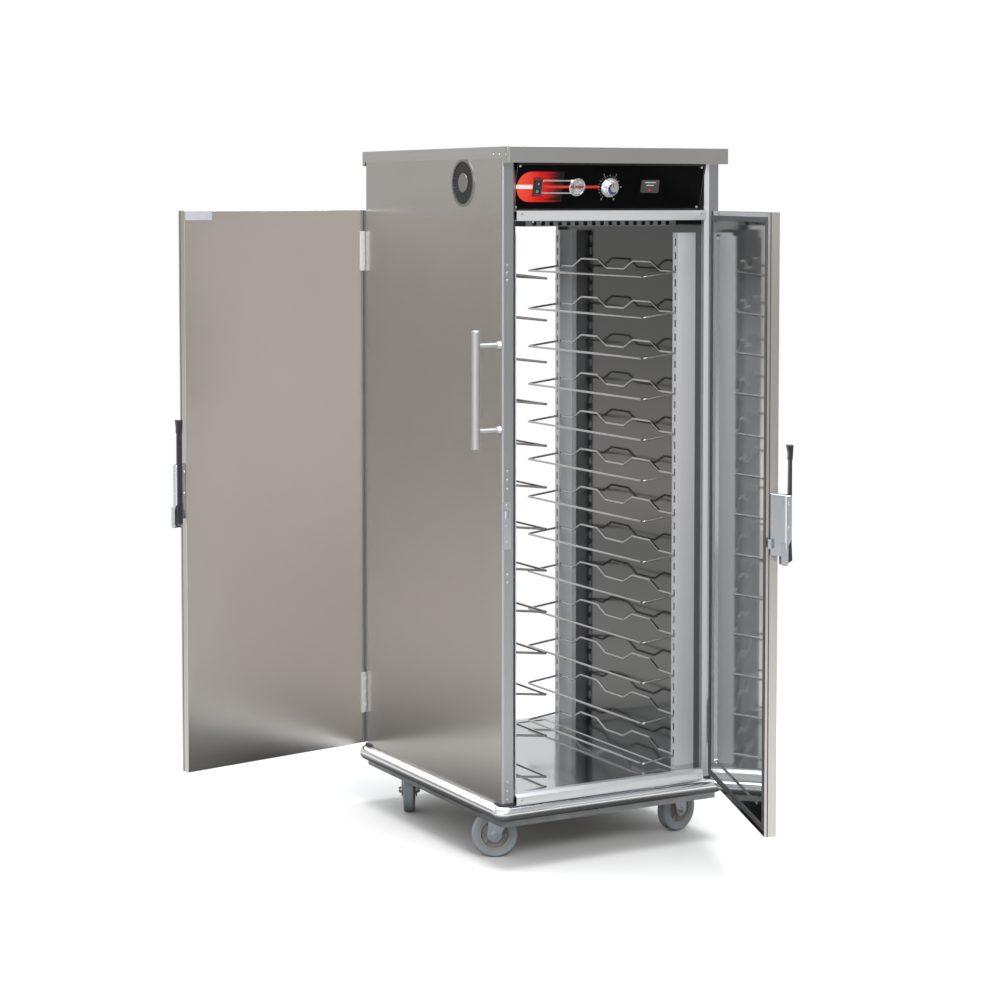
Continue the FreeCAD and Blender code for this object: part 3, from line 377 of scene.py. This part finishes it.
def rounded(x0, x1, z0, z1, radius, steps=6):
    """A rectangle with round corners, as a list of points."""
    points = []
    corners = ((x1 - radius, z1 - radius, 0), (x0 + radius, z1 - radius, 90),
               (x0 + radius, z0 + radius, 180), (x1 - radius, z0 + radius, 270))
    for cx, cz, start in corners:
        for k in range(steps + 1):
            angle = math.radians(start + 90 * k / steps)
            points.append((cx + radius * math.cos(angle), cz + radius * math.sin(angle)))
    return points


def plate(name, outline, low, high, look, body, at, soften=None, axis="Y"):
    return piece(name, build(lambda bm: add_prism(bm, outline, low, high, axis)), look, body, at, soften)


def figures(name, words, height, look, body, at, depth=0.15):
    """Dial numbers: words is a list of (text, x, z) about the piece's own origin, facing -Y."""
    made = []
    for text, x, z in words:
        curve = bpy.data.curves.new(name, "FONT")
        curve.body = text
        curve.size = height * MM
        curve.align_x = "CENTER"
        curve.align_y = "CENTER"
        curve.extrude = depth * MM / 2
        curve.resolution_u = 3
        holder = bpy.data.objects.new(name, curve)
        mesh = bpy.data.meshes.new_from_object(holder)
        bpy.data.objects.remove(holder)
        mesh.transform(Matrix.Translation((x * MM, 0, z * MM)) @ Matrix.Rotation(math.pi / 2, 4, "X"))
        made.append(mesh)
    bm = bmesh.new()
    for mesh in made:
        bm.from_mesh(mesh)
        bpy.data.meshes.remove(mesh)
    whole = bpy.data.meshes.new(name)
    bm.to_mesh(whole)
    bm.free()
    return piece(name, whole, look, body, at, smooth=False)


# Control panel: millimetres about the panel's middle, with -Y out of its face ------------------------


def frame_outline(inset, radius):
    """The panel's outline, moved in by inset."""
    half_w, half_h = PANEL_HALF_W - inset, PANEL_HALF_H - inset
    return rounded(-half_w, half_w, -half_h, half_h, radius)


def control_panel():
    flash = [(-200, 41.5), (-251, 41.5)]
    flash += [(-251 + 41.5 * math.cos(a), 41.5 * math.sin(a))
              for a in (math.radians(90 + 180 * k / 24) for k in range(1, 24))]
    flash += [(-251, -41.5), (-150, -41.5), (-150, 41.5)]
    plate("panel_flash", flash, -0.25, 0, "red_flash", "root", PANEL)
    plate("panel_stripe", rounded(-295, -244, -5.5, 5.5, 1, 2), -0.45, -0.25, "dial_white", "root", PANEL)
    plate("panel_line", rounded(-214, -35, -3.6, 3.6, 3, 3), -0.35, 0, "red_ink", "root", PANEL)
    loop = build(lambda bm: add_ring(bm, rounded(-218, -112, -19, 19, 8), rounded(-214, -116, -15, 15, 6),
                                     -0.8, 0))
    piece("panel_loop", loop, "knob_silver", "root", PANEL, 0.3)
    edge = build(lambda bm: add_ring(bm, frame_outline(0, 6), frame_outline(PANEL_BORDER, 5), -0.5, 0))
    piece("panel_edge", edge, "dark_plastic", "root", PANEL, 0.2)
    plate("panel_patch", rounded(97, 155, -16, 20, 3), -0.3, 0, "dark_film", "root", PANEL)
    patch = build(lambda bm: [add_prism(bm, rounded(x0, x1, z - 1.2, z + 1.2, 1, 2), -0.45, -0.3)
                              for x0, x1, z in ((108, 144, 13), (114, 138, 5))])
    piece("panel_patch_bars", patch, "pale_ink", "root", PANEL)
    plate("panel_patch_dot", circle(3.5, 24, 126, -8), -0.45, -0.3, "red_ink", "root", PANEL)
    screws = build(lambda bm: [add_dome(bm, x, z, 3.6, 1.6) for x in (-288, 288) for z in (-56, 56)])
    piece("panel_screws", screws, "fastener_metal", "root", PANEL)


def add_dome(bm, x, z, radius, height, base=0.0, rings=4, count=20):
    """A low dome standing out along -Y."""
    last = [bm.verts.new(Vector((a, base, b)) * MM) for a, b in circle(radius, count, x, z)]
    bm.faces.new(last)
    for k in range(1, rings):
        angle = math.pi / 2 * k / rings
        line = circle(radius * math.cos(angle), count, x, z)
        ring = [bm.verts.new(Vector((a, base - height * math.sin(angle), b)) * MM) for a, b in line]
        for n in range(count):
            m = (n + 1) % count
            bm.faces.new((last[n], last[m], ring[m], ring[n]))
        last = ring
    top = bm.verts.new(Vector((x, base - height, z)) * MM)
    for n in range(count):
        bm.faces.new((last[n], last[(n + 1) % count], top))


def tick_marks(bm, x, inner, outer, angles, width, low, high):
    for angle in angles:
        a = math.radians(angle)
        along = Vector((math.cos(a), math.sin(a)))
        side = Vector((-along.y, along.x)) * (width / 2)
        corners = [along * inner - side, along * outer - side, along * outer + side, along * inner + side]
        add_prism(bm, [(x + c.x, c.y) for c in corners], low, high)


# Degrees, counter-clockwise from the right, where the scales start, and how far they sweep clockwise.
DIAL_START, DIAL_SWEEP = 210, 240
SCALE_START, SCALE_SWEEP = 240, 300


def dials():
    over_dial = Matrix.Translation((DIAL_X * MM, 0, 0))
    face = build(lambda bm: add_ring(bm, circle(20.3), circle(1.2), 1.3, 1.9))
    face.transform(over_dial)
    piece("thermometer_face", face, "dial_white", "root", PANEL)
    sweep = [DIAL_START - DIAL_SWEEP * k / 20 for k in range(21)]
    marks = build(lambda bm: (tick_marks(bm, 0, 17.2, 19.4, sweep, 0.45, 1.15, 1.3),
                              tick_marks(bm, 0, 15.8, 19.4, sweep[::5], 0.8, 1.15, 1.3)))
    marks.transform(over_dial)
    piece("thermometer_marks", marks, "dial_ink", "root", PANEL)
    words = []
    for k, text in enumerate(("50", "100", "150", "200", "250")):
        a = math.radians(DIAL_START - DIAL_SWEEP / 4 * k)
        words.append((text, 12.2 * math.cos(a), 12.2 * math.sin(a)))
    spot = PANEL @ Matrix.Translation((DIAL_X * MM, 1.25 * MM, 0))
    figures("thermometer_figures", words, 4.6, "dial_ink", "root", spot)

    scale = [SCALE_START - SCALE_SWEEP * k / 20 for k in range(21)]
    ring = build(lambda bm: (tick_marks(bm, KNOB_X, 29.5, 32.5, scale, 0.5, -0.2, 0),
                             tick_marks(bm, KNOB_X, 29.5, 34, scale[::2], 0.9, -0.2, 0)))
    piece("thermostat_scale", ring, "pale_ink", "root", PANEL)
    words = []
    for k in range(0, 11, 2):
        a = math.radians(SCALE_START - SCALE_SWEEP / 10 * k)
        words.append((str(k), 39 * math.cos(a), 39 * math.sin(a)))
    spot = PANEL @ Matrix.Translation((KNOB_X * MM, -0.08 * MM, 0))
    figures("thermostat_figures", words, 6.0, "pale_ink", "root", spot)


def knob_cap():
    def crescent(bm):
        outer = [(15.5 * math.cos(a), 15.5 * math.sin(a))
                 for a in (math.radians(120 + 190 * k / 20) for k in range(21))]
        inner = [(3.5 + 12.0 * math.cos(a), 2.5 + 12.0 * math.sin(a))
                 for a in (math.radians(305 - 180 * k / 20) for k in range(21))]
        add_prism(bm, [(KNOB_X + x, z) for x, z in outer + inner], KNOB_FACE - 0.35, KNOB_FACE)
    piece("knob_pointer_patch", build(crescent), "blue_ink", "knob", PANEL)
    plate("knob_pointer", rounded(KNOB_X - 1.3, KNOB_X + 1.3, 4, 16.5, 1, 3), KNOB_FACE - 0.6,
          KNOB_FACE - 0.2, "red_ink", "knob", PANEL)
    rim = build(lambda bm: add_ring(bm, circle(26.6, 64, KNOB_X), circle(24.8, 64, KNOB_X), -7.5, -6.9))
    piece("knob_rim", rim, "dial_metal", "knob", PANEL)


def rocker_marks():
    pivot = Matrix.Translation((0, 8 * MM, 0))
    tilt = PANEL @ pivot @ Matrix.Rotation(math.radians(ROCKER_TILT), 4, "X") @ pivot.inverted()
    bar = build(lambda bm: add_prism(bm, rounded(ROCKER_X - 0.8, ROCKER_X + 0.8, 8, 14, 0.5, 2), -3.9, -3.2))
    piece("rocker_bar", bar, "pale_ink", "rocker", tilt)
    ring = build(lambda bm: add_ring(bm, circle(3.2, 24, ROCKER_X, -11), circle(2.3, 24, ROCKER_X, -11),
                                     -3.9, -3.2))
    piece("rocker_ring", ring, "pale_ink", "rocker", tilt)


# Body, doors and base --------------------------------------------------------------------------------


def body_trim():
    def shoes(bm):
        outline = rounded(-SHOE_HALF, SHOE_HALF, -SHOE_HALF, SHOE_HALF, 14)
        for sx in (-1, 1):
            for sy in (-1, 1):
                x, y = sx * (HALF_W - POST_INSET), sy * (HALF_D - POST_INSET)
                add_prism(bm, [(x + a, y + b) for a, b in outline], SHOE_LOW, SHOE_HIGH, "Z")
    piece("post_shoes", build(shoes), "dark_plastic", "root", None, 1.5)

    def clips(bm):
        for sx in (-1, 1):
            for sy in (-1, 1):
                for z in CLIP_LEVELS:
                    xs = sorted((sx * UPRIGHT_FACE, sx * (UPRIGHT_FACE + 8.3)))
                    ys = sorted((sy * UPRIGHT_END, sy * (UPRIGHT_END + 2.2)))
                    add_prism(bm, [(xs[0], ys[0]), (xs[1], ys[0]), (xs[1], ys[1]), (xs[0], ys[1])], z, z + 5, "Z")
    piece("upright_clips", build(clips), "upright_metal", "root", None, 0.4)

    backing = build(lambda bm: add_prism(bm, circle(57, 48, VENT_Y, VENT_Z), -343.6, -343.1, "X"))
    piece("vent_backing", backing, "dark_plastic", "root")

    seam = build(lambda bm: add_prism(bm, [(-347.1, -452), (-346.4, -452), (-346.4, -428), (-347.1, -428)],
                                      1898.5, 1938.5, "Z"))
    piece("cap_lap", seam, "side_steel", "root", None, 0.3)


def door_trim(side):
    at = DOORS[side]
    body = side + "_door"
    x0, x1 = DOOR_FREE_EDGE, DOOR_HINGE_EDGE
    out = 0.25

    def seam(bm):
        outer = [(x0 - out, DOOR_BOTTOM - out), (x1 + out, DOOR_BOTTOM - out), (x1 + out, DOOR_TOP + out),
                 (x0 - out, DOOR_TOP + out)]
        inner = [(x0 + 1, DOOR_BOTTOM + 1), (x1 - 1, DOOR_BOTTOM + 1), (x1 - 1, DOOR_TOP - 1),
                 (x0 + 1, DOOR_TOP - 1)]
        add_ring(bm, outer, inner, DOOR_INNER - 9.5, DOOR_INNER - 6.5)
    piece(side + "_door_seam", build(seam), "gasket_rubber", body, at)
    plate(side + "_door_label", rounded(x0 + 3, x0 + 90, DOOR_TOP - 26, DOOR_TOP - 3, 2), DOOR_OUTER - 0.25,
          DOOR_OUTER, "label_film", body, at)


def lever_trim(side):
    at = DOORS[side]
    body = side + "_latch_lever"
    x0 = DOOR_FREE_EDGE - LEVER_SETBACK

    def tip(bm):
        points = [(15.0, 1148), (25.8, 1148), (27.8, 1186), (11.2, 1186), (15.8, 1164)]
        add_prism(bm, [(DOOR_OUTER - q, z) for q, z in points], x0 - 0.6, x0 + LEVER_THICK + 0.6, "X")
    piece(side + "_lever_tip", build(tip), "lever_black", body, at, 1.5)


def wheel_frame(name):
    x, y, heading = CASTERS[name]
    spot = Matrix.Translation((x * MM, y * MM, 0)) @ Matrix.Rotation(math.radians(heading), 4, "Z")
    return spot @ Matrix.Translation((TRAIL * MM, 0, WHEEL_RADIUS * MM))


def caster_trim(name):
    at = wheel_frame(name)

    def nuts(bm):
        for side in (-1, 1):
            ends = sorted((side * 25.5, side * 31))
            add_prism(bm, circle(8.3, 6), *ends)
            add_prism(bm, circle(10.8, 32), *sorted((side * 22.6, side * 24.2)))
    piece(name + "_axle_nuts", build(nuts), "zinc", name + "_caster", at, 0.6)

    def ribs(bm):
        for side in (-1, 1):
            for k in range(8):
                a = math.tau * k / 8
                along = Vector((math.cos(a), math.sin(a)))
                across = Vector((-along.y, along.x)) * 1.3
                corners = [along * 13 - across, along * 37 - across, along * 37 + across, along * 13 + across]
                add_prism(bm, [(c.x, c.y) for c in corners], *sorted((side * 4.5, side * 12)))
    piece(name + "_wheel_ribs", build(ribs), "wheel_core", name + "_wheel", at, 0.5)

    spot = Matrix.Translation((CASTERS[name][0] * MM, CASTERS[name][1] * MM, 0))
    race = build(lambda bm: add_ring(bm, circle(30, 48), circle(27.4, 48), 145.2, 147.6, "Z"))
    piece(name + "_dust_ring", race, "zinc", name + "_caster", spot, 0.5)


# Scene -----------------------------------------------------------------------------------------------


def dress_cad():
    slots = {row["node"]: row["material_slot"] for row in frame["record"]["subparts"]}
    for node, obj in frame["nodes"].items():
        look = LOOKS[OWN_LOOKS.get(node, slots[node])]
        if obj.material_slots:
            for slot in obj.material_slots:
                slot.material = look
        else:
            obj.data.materials.append(look)


# Brightness from straight down (0) to straight up (1), with the horizon at 0.5.
STUDIO_STOPS = (
    (0.0, (0.30, 0.30, 0.30)),
    (0.36, (0.46, 0.455, 0.445)),
    (0.40, (0.60, 0.585, 0.56)),
    (0.425, (0.56, 0.545, 0.52)),
    (0.443, (0.66, 0.645, 0.615)),
    (0.47, (0.35, 0.345, 0.335)),
    (0.50, (0.30, 0.30, 0.295)),
    (0.53, (0.32, 0.32, 0.315)),
    (0.62, (0.52, 0.52, 0.515)),
    (1.0, (0.95, 0.96, 0.98)),
)
# Two lit sides: direction, where the light starts and is full as a cosine, and how much it adds.
LIT_SIDES = (
    ((-0.85, -0.5, 0.0), 0.7, 0.97, 1.9),
    ((0.0, 1.0, 0.0), 0.15, 0.9, 0.65),
)


def world():
    """White to the camera; to everything else a soft studio, brightest overhead, with two lit sides."""
    made = bpy.data.worlds.new("studio")
    bpy.context.scene.world = made
    made.use_nodes = True
    nodes, links = made.node_tree.nodes, made.node_tree.links
    where = nodes.new("ShaderNodeTexCoord")
    split = nodes.new("ShaderNodeSeparateXYZ")
    ramp = nodes.new("ShaderNodeValToRGB")
    height = nodes.new("ShaderNodeMapRange")
    height.inputs["From Min"].default_value = -1.0
    links.new(where.outputs["Generated"], split.inputs[0])
    links.new(split.outputs["Z"], height.inputs["Value"])
    links.new(height.outputs["Result"], ramp.inputs["Fac"])
    ramp.color_ramp.elements[0].position = STUDIO_STOPS[0][0]
    ramp.color_ramp.elements[1].position = STUDIO_STOPS[-1][0]
    for position, _ in STUDIO_STOPS[1:-1]:
        ramp.color_ramp.elements.new(position)
    for element, (_, colour) in zip(ramp.color_ramp.elements, STUDIO_STOPS):
        element.color = (*colour, 1.0)
    seen = nodes["Background"]
    seen.inputs["Color"].default_value = (1.0, 1.0, 1.0, 1.0)
    soft = nodes.new("ShaderNodeBackground")
    links.new(ramp.outputs["Color"], soft.inputs["Color"])
    lift = None
    for direction, low, high, extra in LIT_SIDES:
        facing = nodes.new("ShaderNodeVectorMath")
        facing.operation = "DOT_PRODUCT"
        facing.inputs[1].default_value = direction
        links.new(where.outputs["Generated"], facing.inputs[0])
        side = nodes.new("ShaderNodeMapRange")
        side.interpolation_type = "SMOOTHSTEP"
        side.inputs["From Min"].default_value = low
        side.inputs["From Max"].default_value = high
        side.inputs["To Max"].default_value = extra
        links.new(facing.outputs["Value"], side.inputs["Value"])
        total = nodes.new("ShaderNodeMath")
        total.inputs[1].default_value = 1.0
        links.new(side.outputs["Result"], total.inputs[0])
        if lift is not None:
            links.new(lift, total.inputs[1])
        lift = total.outputs[0]
    links.new(lift, soft.inputs["Strength"])
    ray = nodes.new("ShaderNodeLightPath")
    mixed = nodes.new("ShaderNodeMixShader")
    links.new(ray.outputs["Is Camera Ray"], mixed.inputs["Fac"])
    links.new(soft.outputs[0], mixed.inputs[1])
    links.new(seen.outputs[0], mixed.inputs[2])
    links.new(mixed.outputs[0], nodes["World Output"].inputs["Surface"])


def lamp(name, place, aim, size, power, colour=(1.0, 1.0, 1.0)):
    data = bpy.data.lights.new(name, "AREA")
    data.shape = "RECTANGLE"
    data.size, data.size_y = size
    data.energy = power
    data.color = colour
    obj = bpy.data.objects.new(name, data)
    obj.location = place
    obj.rotation_euler = (Vector(aim) - Vector(place)).to_track_quat("-Z", "Y").to_euler()
    bpy.context.scene.collection.objects.link(obj)


def floor():
    """A pale floor that shows the contact shadow near the object and runs out to white further off; to reflected
    rays it is painted darker, near black close to the object as painted shade.
    """
    bm = bmesh.new()
    bmesh.ops.create_circle(bm, cap_ends=True, segments=96, radius=6.0)
    mesh = bpy.data.meshes.new("floor")
    bm.to_mesh(mesh)
    bm.free()
    obj = bpy.data.objects.new("floor", mesh)
    obj.location.z = -0.0005
    bpy.context.scene.collection.objects.link(obj)
    g = Graph("floor")
    g.set(Roughness=0.8, Specular_IOR_Level=0.2)
    where = g.add("ShaderNodeTexCoord")
    length = g.add("ShaderNodeVectorMath", operation="LENGTH")
    g.join(where.outputs["Object"], length.inputs[0])
    ray = g.add("ShaderNodeLightPath")
    # Painted shade: to reflected rays the floor is darker than to the camera, near black within 0.7 m of the object
    # and rising to pale grey by 1.5 m.
    reflected_painted_shade = g.mix(g.range(length.outputs["Value"], 0.0, 1.0, 0.7, 1.5), (0.07, 0.07, 0.07), (0.66, 0.65, 0.63))
    g.join(g.mix(ray.outputs["Is Camera Ray"], reflected_painted_shade, (0.93, 0.93, 0.93)), g.shader.inputs["Base Color"])
    glow = g.add("ShaderNodeEmission")
    near_far = g.range(length.outputs["Value"], 0.0, 1.0, 1.3, 2.4)
    both = g.add("ShaderNodeMath", operation="MULTIPLY")
    g.join(near_far, both.inputs[0])
    g.join(ray.outputs["Is Camera Ray"], both.inputs[1])
    mixed = g.add("ShaderNodeMixShader")
    g.join(both.outputs[0], mixed.inputs["Fac"])
    g.join(g.shader.outputs[0], mixed.inputs[1])
    g.join(glow.outputs[0], mixed.inputs[2])
    g.join(mixed.outputs[0], g.nodes["Material Output"].inputs["Surface"])
    mesh.materials.append(g.material)


CAMERA_PLACE = (-3.4126, -5.9786, 1.8032)
CAMERA_DOWN = 3.264
CAMERA_HEADING = -28.832
CAMERA_LENS = 86.36
CAMERA_SHIFT = -0.165


def camera():
    data = bpy.data.cameras.new("camera")
    data.sensor_width = 36.0
    data.lens = CAMERA_LENS
    data.shift_y = CAMERA_SHIFT
    data.clip_end = 100.0
    obj = bpy.data.objects.new("camera", data)
    obj.location = CAMERA_PLACE
    obj.rotation_euler = (math.radians(90 - CAMERA_DOWN), 0, math.radians(CAMERA_HEADING))
    bpy.context.scene.collection.objects.link(obj)
    bpy.context.scene.camera = obj


dress_cad()
control_panel()
dials()
knob_cap()
rocker_marks()
body_trim()
for end in DOORS:
    door_trim(end)
    lever_trim(end)
for caster in CASTERS:
    caster_trim(caster)
world()
lamp("overhead", (0.0, -0.3, 4.6), (0, 0, 0), (3.4, 3.4), 210.0)
lamp("front_key", (-1.2, -5.2, 3.6), (0, 0, 0.9), (2.4, 1.6), 110.0)
floor()
camera()
bpy.context.scene.view_settings.view_transform = "Standard"
